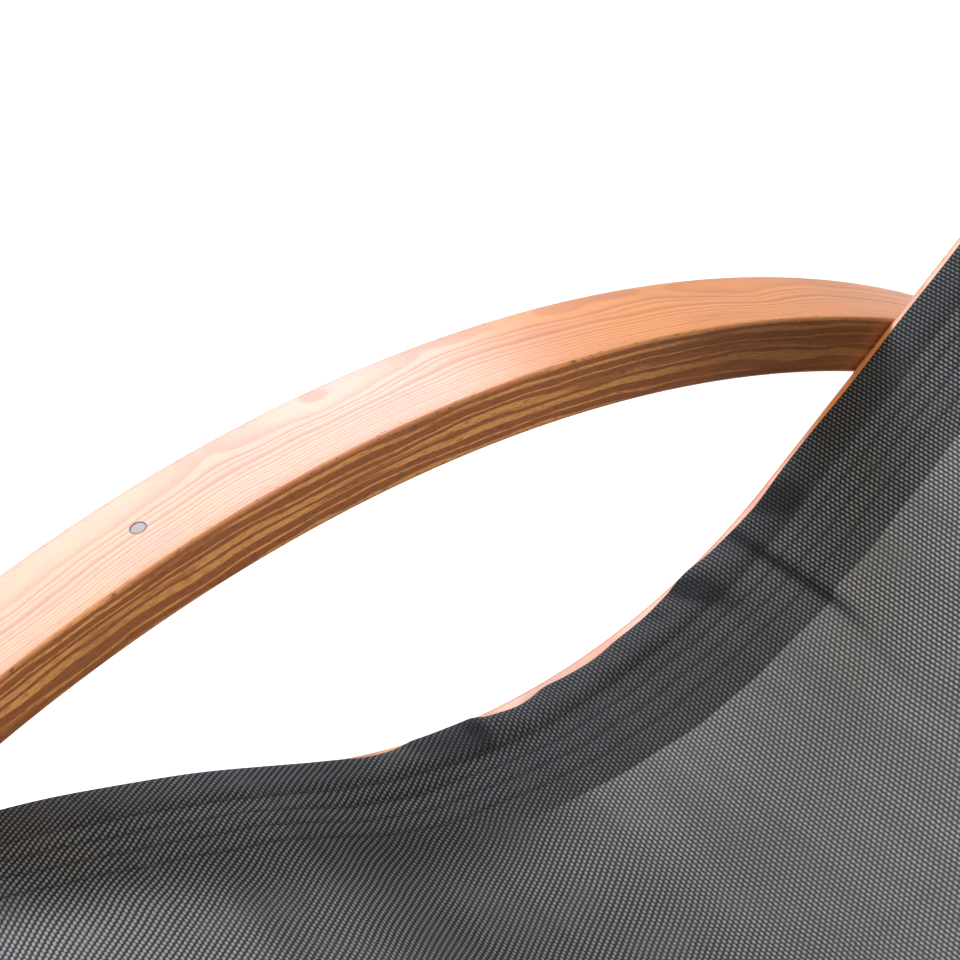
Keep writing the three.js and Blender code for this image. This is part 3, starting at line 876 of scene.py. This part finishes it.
def place_bar(node, width, depth, rounding, shift):
    """A straight bar across the lounger, with open holes for its barrel nuts."""
    low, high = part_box(node)
    centre = (low + high) / 2
    heading = bar_heading(node)
    c, s = math.cos(heading), math.sin(heading)
    rings = []
    for distance, inset in beam_stations(high.y - low.y, 0.001, 0.012):
        section = rounded_section(width, depth, rounding, inset, 5, 3)
        u, v = -section[:, 0], section[:, 1]
        y = np.full(len(section), low.y + distance)
        rings.append(np.column_stack([centre.x + u * c - v * s, y, centre.z + u * s + v * c]))
    square = Vector((-s, 0, c))
    cutters = []
    for side, _ in RIGHT_LEFT:
        nut_low, nut_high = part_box(f"{side}_{node}_barrel_nut")
        radius = (nut_high.y - nut_low.y) / 2 + 0.0003
        cutters.append(round_cutter(radius, -depth, depth, (nut_low + nut_high) / 2, square))
    mesh = cut_holes(swept(node, rings), cutters)
    co = positions(mesh)
    dx, dz = co[:, 0] - centre.x, co[:, 2] - centre.z
    across, through = dx * c + dz * s + width / 2, -dx * s + dz * c + depth / 2
    add_grain(mesh, co[:, 1] + shift, across, through, width, depth)
    add_object(f"{node}_wood", mesh, bar_wood, [node])


place_arches()
place_rails()
for number, node in enumerate(CROSSBARS):
    place_bar(node, **CROSSBAR_SECTION, shift=10 + 1.7 * number)
for number, node in enumerate(STRETCHERS):
    place_bar(node, **STRETCHER_SECTION, shift=20 + 1.7 * number)


# ---------------------------------------------------------------- the sling

# Dips and bumps of the sleeve's folded edge: how far out, distance, and spread.
EDGE_BUMPS = (
    (-0.0022, 0.758, 0.018),
    (-0.0034, 0.872, 0.017),
    (0.0014, 0.894, 0.010),
    (-0.0030, 0.930, 0.020),
    (0.0034, 1.020, 0.015),
    (-0.0012, 1.080, 0.020),
)
# The sleeve's tucks at the hip: distance, width along the rail, half width, reach, and depth.
TUCKS = (
    (0.838, 0.0075, 0.270, 0.015, 0.0018),
    (0.812, 0.0170, 0.272, 0.014, 0.0012),
    (0.985, 0.0075, 0.278, 0.010, 0.0013),
    (1.016, 0.0105, 0.274, 0.026, 0.0042),
    (1.097, 0.0115, 0.280, 0.020, 0.0040),
    (0.549, 0.0040, 0.268, 0.018, 0.0008),
)
# Slack between the tucks, where the sleeve stands up.
SWELLS = (
    (0.768, 0.016, 0.272, 0.013, 0.0018),
    (0.852, 0.011, 0.274, 0.014, 0.0024),
    (0.882, 0.010, 0.272, 0.012, 0.0016),
    (0.930, 0.012, 0.272, 0.012, 0.0018),
    (0.962, 0.012, 0.274, 0.012, 0.0012),
    (1.000, 0.007, 0.276, 0.013, 0.0016),
    (1.038, 0.011, 0.276, 0.014, 0.0022),
    (1.078, 0.008, 0.278, 0.012, 0.0016),
    (1.120, 0.014, 0.278, 0.012, 0.0010),
)


def sag(distance):
    x = rail_point(distance)[0]
    start, end = rail_point(np.array([0.0, RAIL_LENGTH]))[0]
    return END_SAG + (HIP_SAG - END_SAG) * np.sin(math.pi * (x - start) / (end - start)) ** 2


def sleeve_edge(distance, side):
    """How far out the sleeve's folded edge lies: drawn in at the hip, and slack beside it."""
    wave = 0.0003 * np.sin(distance * 61 + side) + 0.0003 * np.sin(distance * 23 + 2 * side)
    edge = 0.2894 - 0.0024 * ease(distance, 0.70, 0.78) + wave
    edge += 0.0032 * between(distance, (0.775, 0.795), (0.838, 0.850))
    edge -= 0.0018 * between(distance, (0.838, 0.850), (0.965, 1.005))
    edge += sum(out * bump_at(distance, centre, spread) for out, centre, spread in EDGE_BUMPS)
    return np.maximum(edge, BATTEN_OUTER + 0.0018)


def dimples(marks, distance, across, side):
    """The sum of soft oval marks. The left sleeve has its own, a little further along."""
    if side < 0:
        distance = distance - LEFT_SHIFT
    total = 0.0
    for along, spread, half_width, reach, depth in marks:
        lean = 0.35 * (across - half_width)
        oval = bump_at(distance + lean, along, spread) * bump_at(across, half_width, reach)
        total = total + depth * oval
    return total


def slack(distance, across, side):
    """How far the sleeve's top stands off its batten."""
    loose = 0.0016 * between(distance, (0.735, 0.790), (1.12, 1.20))
    rise = loose + dimples(SWELLS, distance, across, side) - dimples(TUCKS, distance, across, side)
    rise += 0.0004 * np.sin(distance * 44 + side) * np.sin(distance * 17 + 1.3 * side)
    return np.maximum(rise, -0.0002)


def crease_line(across):
    """The crease's distance along the sling, which bows towards the head at the hem's inner line."""
    return CREASE + 0.004 * ease(across, 0.285, 0.200) - 0.016 * ease(across, 0.190, 0.100)


def pleats(distance, across, side):
    """Low folds of the flat cloth: the crease at the hip, a kink, and broad soft waves."""
    line = crease_line(across)
    strength = 0.25 + 0.75 * ease(across, 0.150, 0.205)
    crease = 0.0021 * bump_at(distance, line, 0.0036) * strength * ease(across, 0.060, 0.150)
    crease -= 0.0011 * bump_at(distance, line + 0.012, 0.009) * strength
    kink = 0.0010 * bump_at(distance, 0.549 + 0.04 * (0.255 - across), 0.0040) * ease(across, 0.120, 0.200)
    dull = 0.0022 * bump_at(distance, 0.735 - 0.15 * (0.2 - across), 0.050) * ease(across, 0.0, 0.16)
    bright = 0.0012 * bump_at(distance, 0.592 - 0.12 * (0.2 - across), 0.016) * ease(across, 0.02, 0.16)
    waves = 0.0006 * np.sin(distance * 71 + 9 * across + side) * ease(across, 0.02, 0.19)
    waves *= ease(-distance, -0.95, -0.80)
    soft = 0.0007 * np.sin(distance * 27 + 5 * across + 2 * side)
    return bright + soft - waves - crease - kink - dull


def top_height(distance, across, side):
    """The top layer's height above the rail's top line, at a half width across."""
    flat = ON_RAIL - sag(distance) * (1 - np.minimum(across / 0.254, 1) ** 2)
    flat = flat + pleats(distance, across, side) * (1 - ease(across, 0.240, 0.252))
    for row in STITCH_ROWS:
        flat = flat - 0.00035 * bump_at(across, row, 0.0016)
    over = ease(across, BATTEN_INNER - 0.0095, BATTEN_INNER + 0.0040)
    down = np.clip((across - FALL_START) / (sleeve_edge(distance, side) - FALL_START), 0, 1)
    crown = 0.0003 * np.sin(math.pi * ease(across, BATTEN_INNER, BATTEN_OUTER))
    rise = SLEEVE_TOP + crown + slack(distance, across, side) - FOLD_HEIGHT
    sleeve = FOLD_HEIGHT + rise * np.sqrt(np.maximum(1 - down**2, 0))
    return flat * (1 - over) + sleeve * over


def gathered_wedge_shade(distance, across, side):
    """Painted shade, partly standing for layers, on the wedge of the sleeve that is gathered in at the
    hip, widest at the folded edge.
    """
    shift = LEFT_SHIFT if side < 0 else 0.0
    out = (across - 0.257) / 0.028
    start = 0.799 - 0.019 * out + shift
    end = 0.834 + 0.008 * out + shift
    inside = between(distance, (start - 0.007, start + 0.005), (end - 0.003, end + 0.005))
    deepest = 0.30 + 0.34 * bump_at(distance, end - 0.006, 0.010)
    return inside * deepest * ease(across, 0.2535, 0.2590)


def tuck_shade(distance, across, side):
    """Painted shade, partly standing for layers that lie on each other: most in the tucks and the crease,
    some in the sleeve, and more along the stitch rows and in a hollow towards the knee.
    """
    shade = dimples(TUCKS, distance, across, side) / 0.0030
    wedge_shade = gathered_wedge_shade(distance, across, side)
    # Painted shade along the crease.
    crease_shade = bump_at(distance, crease_line(across), 0.0038) * (0.15 + 0.85 * ease(across, 0.150, 0.200))
    # Painted shade along the stitch rows.
    seam_shade = 0.46 * sum(bump_at(across, row, 0.0013) for row in STITCH_ROWS)
    # Painted shade in the sleeve: some towards the foot end, and most towards the head end, where the
    # arm's shadow falls.
    sleeve_shade = 0.26 * (1 - ease(distance, 0.735, 0.765)) + 0.50 * ease(distance, 0.990, 1.090)
    sleeve = (0.04 + sleeve_shade) * ease(across, 0.2555, 0.2610)
    # Towards the knee the stretched cloth opens, and shows more of the dark behind it.
    # Painted shade in a broad hollow of the cloth towards the knee.
    knee_hollow_shade = 0.34 * bump_at(distance, 0.722 - 0.15 * (0.2 - across), 0.060)
    inner_hollow_shade = knee_hollow_shade * ease(-across, -0.235, -0.200)
    return np.clip(shade + wedge_shade + crease_shade + seam_shade + sleeve + inner_hollow_shade, 0, 1)


def hem_line(distance):
    """The hem's inner line, which steps at the crease."""
    wave = 0.0008 * math.sin(distance * 9) + 0.0005 * math.sin(distance * 31)
    return HEM_LINE + wave + 0.0030 * float(ease(distance, CREASE, CREASE + 0.010))


def pull(distance, across):
    """How far the stitched band is pulled along the width: puckers, and a slow drift."""
    puckers = 0.0009 * np.sin(37 * distance + 40 * across) + 0.0006 * np.sin(113 * distance + 25 * across)
    drift = 0.0034 * ease(-distance, -0.62, -0.50) - 0.0018 * bump_at(distance, 0.845, 0.055)
    return (puckers + drift) * between(across, (0.150, 0.212), (0.250, 0.268))


def top_profile():
    """Half widths of the top layer's points, from the middle to the start of the sleeve's fall."""
    plain = np.linspace(0, HEM_LINE, 39)
    beside_rows = [row + step for row in STITCH_ROWS for step in (-0.0028, -0.0012, 0, 0.0012, 0.0028)]
    before_rows = np.arange(HEM_LINE + 0.004, 0.212, 0.004)
    between_rows = (0.2205, 0.2255, 0.2350, 0.2395, 0.2490, 0.2525)
    sleeve = np.linspace(BATTEN_INNER + 0.0012, FALL_START, 15)
    return np.concatenate([plain, sorted([*beside_rows, *before_rows, *between_rows]), sleeve])


TOP_PROFILE = top_profile()


def side_line(distance, side):
    """One side's cloth at a distance: half widths and heights, from the middle out.

    The line runs over the batten, round the sleeve's folded edge, back under the batten, and
    under the top layer as far as the hem's inner line.
    """
    def height_at(half_width):
        return top_height(np.full(half_width.shape, distance), half_width, side)

    edge = float(sleeve_edge(distance, side))
    falling = FALL_START + (edge - FALL_START) * np.sin(np.linspace(0.12, 1, 8) * math.pi / 2)
    top_w = np.concatenate([TOP_PROFILE, falling])
    turn = np.linspace(0, math.pi / 2, 5)[1:]
    fold_w = edge - FOLD_RADIUS * (1 - np.cos(turn))
    fold_h = FOLD_HEIGHT - FOLD_RADIUS * np.sin(turn)
    under_w = np.linspace(edge - 0.004, hem_line(distance) + 0.0005, 34)
    layer_gap, under_batten = CLOTH * 1.12, 0.0006
    in_sleeve = ease(under_w, BATTEN_INNER - 0.006, BATTEN_INNER - 0.001)
    under_h = (height_at(under_w) - layer_gap) * (1 - in_sleeve) + under_batten * in_sleeve
    return np.concatenate([top_w, fold_w, under_w]), np.concatenate([height_at(top_w), fold_h, under_h])


def end_strips(count, around):
    """Closes the cloth's two cut ends with a strip of quads between its faces."""
    ring = 2 * around
    base = (count - 1) * ring
    faces = []
    for a in range(around - 1):
        b = a + 1
        faces.append((a, ring - 1 - a, ring - 1 - b, b))
        faces.append((base + b, base + ring - 1 - b, base + ring - 1 - a, base + a))
    return faces


def cloth_sheet(name, distances):
    """The whole sling as one thin closed cloth, from hem line to hem line round both sleeves."""
    rings, marks, shades = [], [], []
    for distance in distances:
        right_w, right_h = side_line(distance, 1)
        left_w, left_h = side_line(distance, -1)
        middle = len(left_w) - 1
        w = np.concatenate([-left_w[:0:-1], right_w])
        h = np.concatenate([left_h[:0:-1], right_h])
        along, half_width = np.full(w.shape, distance), np.abs(w)
        dw, dh = np.gradient(w), np.gradient(h)
        size = np.maximum(np.hypot(dw, dh), 1e-9)
        shown = w + np.sign(w) * pull(distance, half_width)
        faces = []
        for offset in (CLOTH / 2, -CLOTH / 2):
            x, z = rail_point(along, h + offset * dw / size)
            faces.append(np.column_stack([x, shown - offset * dh / size, z]))
        length = np.concatenate([[0], np.cumsum(np.hypot(np.diff(w), np.diff(h)))])
        mark = np.column_stack([along, length - length[middle], half_width - hem_line(distance)])
        shade = np.where(np.arange(len(w)) >= middle,
                         tuck_shade(along, half_width, 1), tuck_shade(along, half_width, -1))
        for parts, (upper, lower) in ((rings, faces), (marks, (mark, mark)), (shades, (shade, shade))):
            parts.append(np.concatenate([upper, lower[::-1]]))
    count, around = len(distances), len(w)
    mesh_faces = rings_to_faces(count, 2 * around, closed=False) + end_strips(count, around)
    mesh = mesh_of(name, np.concatenate(rings), mesh_faces, math.radians(60))
    write_attribute(mesh, "cloth", np.concatenate(marks) / MM)
    write_attribute(mesh, "cloth_shade", np.concatenate(shades))
    return mesh


def cloth_distances():
    """Finer stations where the cloth puckers."""
    coarse = np.arange(SLING_INSET, RAIL_LENGTH - SLING_INSET, 0.006)
    stations = [s for s in coarse if not 0.55 < s < 0.60 and not 0.78 < s < 1.10]
    stations += list(np.arange(0.552, 0.600, 0.0022)) + list(np.arange(0.782, 1.100, 0.0028))
    return np.array(sorted(stations + [RAIL_LENGTH - SLING_INSET]))


def stitch(row, distance, side):
    """The rings of a short stitch in a row: a small round-ended arc of thread."""
    lift = np.array([0.0, 0.00030, 0.00036, 0.00030, 0.0])
    radius = THREAD_RADIUS * np.array([0.55, 1.0, 1.0, 1.0, 0.55])
    angles = np.arange(THREAD_SIDES) * math.tau / THREAD_SIDES
    s = distance + np.linspace(-0.5, 0.5, len(lift)) * STITCH_LENGTH
    height = top_height(s, np.full(s.shape, row), side) + CLOTH / 2 + lift - 0.0001
    rings = []
    for place, middle, up, r in zip(s, row + pull(s, row), height, radius):
        x, z = rail_point(np.full(THREAD_SIDES, place), up + r * np.sin(angles))
        rings.append(np.column_stack([x, side * (middle + r * np.cos(angles)), z]))
    return rings


def place_stitches():
    distances = np.arange(SLING_INSET + 0.006, RAIL_LENGTH - SLING_INSET - 0.004, STITCH_PITCH)
    pieces = []
    for side, label in ((1, "right"), (-1, "left")):
        stitches = [stitch(row, distance, side) for row in STITCH_ROWS for distance in distances]
        rings = len(stitches[0])
        one = rings_to_faces(rings, THREAD_SIDES)
        faces = [tuple(i + number * rings * THREAD_SIDES for i in face)
                 for number in range(len(stitches)) for face in one]
        mesh = mesh_of(f"{label}_hem_stitches", np.concatenate(stitches).reshape(-1, 3), faces)
        pieces.append(add_object(f"{label}_hem_stitches", mesh, thread))
    return pieces


def place_battens():
    """Flat battens with round edges, in the sleeves."""
    rings = []
    for distance, inset in beam_stations(RAIL_LENGTH - 2 * SLING_INSET, 0.0004, 0.012):
        section = rounded_section(BATTEN_OUTER - BATTEN_INNER, BATTEN_THICKNESS, 0.0008, inset, 4, 3)
        height = BATTEN_LOW + BATTEN_THICKNESS / 2 + section[:, 1]
        x, z = rail_point(np.full(len(section), SLING_INSET + distance), height)
        rings.append(np.column_stack([x, BATTEN_MIDDLE - section[:, 0], z]))
    add_pair(swept("batten", rings), "batten", batten_plastic, "hem_batten")


def place_sling():
    mesh = cloth_sheet("sling_cloth", cloth_distances())
    cloth = add_object("sling_cloth", mesh, fabric, ["sling_fabric"])
    stitches = place_stitches()


place_battens()
place_sling()


# ---------------------------------------------------------------- fasteners and feet

SMALL_BOLT = {"head": 0.0075, "head_height": 0.0035, "shank": 0.003, "hexagon": 0.0023}
LARGE_BOLT = {"head": 0.0090, "head_height": 0.004, "shank": 0.004, "hexagon": 0.003}


def bolt_mesh(length, head, head_height, shank, hexagon):
    """A flat-headed bolt about Y: head face at 0, shank along -Y, hexagon socket."""
    e = 0.0006  # of the rounded edges
    profile = [(0, 0), (head - 2 * e, 0), (head - 0.6 * e, -0.3 * e), (head, -1.4 * e),
               (head, -head_height + e / 2), (head - e / 2, -head_height), (shank, -head_height),
               (shank, -length + e), (shank - e, -length), (0, -length)]
    return cut_holes(turned("bolt", profile), [prism("socket", 6, hexagon, -head_height * 0.62, 0.002)])


def place_bolts():
    for bar in CROSSBARS + STRETCHERS + CROSSINGS:
        low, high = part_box(f"right_{bar}_bolt")
        mesh = bolt_mesh(high.y - low.y, **(SMALL_BOLT if bar in CROSSBARS else LARGE_BOLT))
        c = (low + high) / 2
        add_pair(mesh, f"{bar}_bolt_steel", steel, f"{bar}_bolt", (c.x, high.y, c.z))


def place_barrel_nuts():
    """Barrel nuts whose slotted ends face down, out of the bars' undersides."""
    for bar in CROSSBARS + STRETCHERS:
        low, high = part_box(f"right_{bar}_barrel_nut")
        radius = (high.y - low.y) / 2
        half, bore_radius = (0.008, 0.0033) if bar in CROSSBARS else (0.010, 0.0043)
        e = 0.0005  # of the rounded edges
        profile = [(0, half), (radius - e, half), (radius, half - e), (radius, e - half),
                   (radius - e, -half), (0, -half)]
        slot_cut = prism("slot", 4, radius * 1.6, half - 0.0014, half + 0.002)
        slot_cut.transform(Matrix.Diagonal((1, 1, 0.12, 1)) @ Matrix.Rotation(math.radians(45), 4, "Y"))
        bore = placed(prism("bore", 24, bore_radius, -0.02, 0.02), "bore", direction=(0, 0, 1))
        mesh = cut_holes(turned("nut", profile), [slot_cut, bore])
        heading = bar_heading(bar)
        down = (math.sin(heading), 0, -math.cos(heading))
        add_pair(mesh, f"{bar}_barrel_nut_steel", steel, f"{bar}_barrel_nut",
                 (low + high) / 2, down)


def place_cap_nuts():
    """Domed cap nuts on washers, at the two crossings of each side."""
    hex_height, half_flats = 0.0065, 0.0065
    dome_base, rise = 0.0061, 0.005
    washer_radius, hole, e = 0.009, 0.0044, 0.0003
    for end in ("front", "rear"):
        hexagon = prism("hexagon", 6, half_flats / math.cos(math.radians(30)), -hex_height, 0)
        arc = [(dome_base * math.cos(a), -hex_height - rise * math.sin(a))
               for a in np.linspace(0, math.pi / 2, 9)]
        profile = [(0, -0.006), (dome_base, -0.006)] + arc[:-1] + [(0, -hex_height - rise)]
        cap_nut = cut_holes(hexagon, [turned("dome", profile)], "UNION")
        low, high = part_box(f"right_{end}_crossing_washer")
        t = high.y - low.y
        washer = turned("washer", [(hole, 0), (washer_radius - e, 0), (washer_radius, -e),
                                   (washer_radius, e - t), (washer_radius - e, -t), (hole, -t), (hole, 0)])
        for name, mesh in (("cap_nut", cap_nut), ("washer", washer)):
            node = f"{end}_crossing_{name}"
            low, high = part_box(f"right_{node}")
            c = (low + high) / 2
            add_pair(mesh, f"{node}_steel", steel, node, (c.x, high.y, c.z))


def place_arm_screws():
    """A flush screw head on the arch's top face: a dull disc in a narrow dark ring, which is painted shade
    of the gap round the head and bluish corrosion.
    """
    profile = [(0, -0.00015), (0.0040, -0.00015), (0.0044, -0.00030), (0.0045, -0.00070),
               (0.0026, -0.0035), (0.0025, -0.030), (0, -0.032)]
    gap_shade_profile = [(0.0046, -0.0008), (0.0046, -0.00045), (0.0052, -0.00010), (0.0053, -0.00025),
                    (0.0053, -0.0008), (0.0046, -0.0008)]
    point, out = arm_screw_place()
    add_pair(turned("arm_screw", profile, 48), "arm_screw_head", dull_steel, "arm_screw",
             point, out)
    add_pair(turned("arm_screw_gap_shade", gap_shade_profile, 48), "arm_screw_gap_shade", gap_shade_grey,
             point=point, direction=out)


def place_hem_screws():
    """Screws in the rails' undersides, up into the battens. They are only in this model."""
    profile = [(0, 0), (0.0034, 0), (0.0039, -0.0004), (0.0040, -0.0008), (0.0021, -0.0028),
               (0.0020, -0.034), (0, -0.036)]
    mesh = cut_holes(turned("hem_screw", profile, 28), [prism("socket", 4, 0.0019, -0.0016, 0.001)])
    for number, distance in enumerate(hem_screw_distances()):
        seat, down = below_rail(distance, RAIL_DEPTH - HEM_SCREW_SINK + 0.0005)
        add_pair(mesh, f"hem_screw_{number + 1}", steel, point=seat, direction=down)


def place_glides():
    """Rubber pads with a soft edge under the feet, and a stem up into the wood."""
    stem_profile = [(0, 0.020), (0.003, 0.020), (0.004, 0.0185), (0.004, -0.0005), (0, -0.0005)]
    for end in ("front", "rear"):
        low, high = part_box(f"right_{end}_glide")
        c = (low + high) / 2
        thickness = FOOT_Z - low.z - 0.0003
        rings = []
        for height, inset in ((0, 0.0012), (0.0004, 0.0004), (0.0012, 0), (thickness - 0.0008, 0),
                              (thickness - 0.0002, 0.0003), (thickness, 0.0010)):
            section = rounded_section(high.x - low.x, high.y - low.y, 0.008, inset, 7, 2)
            z = np.full(len(section), low.z + height)
            rings.append(np.column_stack([c.x + section[:, 0], c.y + section[:, 1], z]))
        node = f"{end}_glide"
        add_pair(swept("pad", rings), f"{node}_pad", rubber, node)
        add_pair(turned("stem", stem_profile, 24), f"{node}_stem", rubber,
                 point=(c.x, c.y, low.z + thickness), direction=(0, 0, 1))


place_bolts()
place_barrel_nuts()
place_cap_nuts()
place_arm_screws()
place_hem_screws()
place_glides()
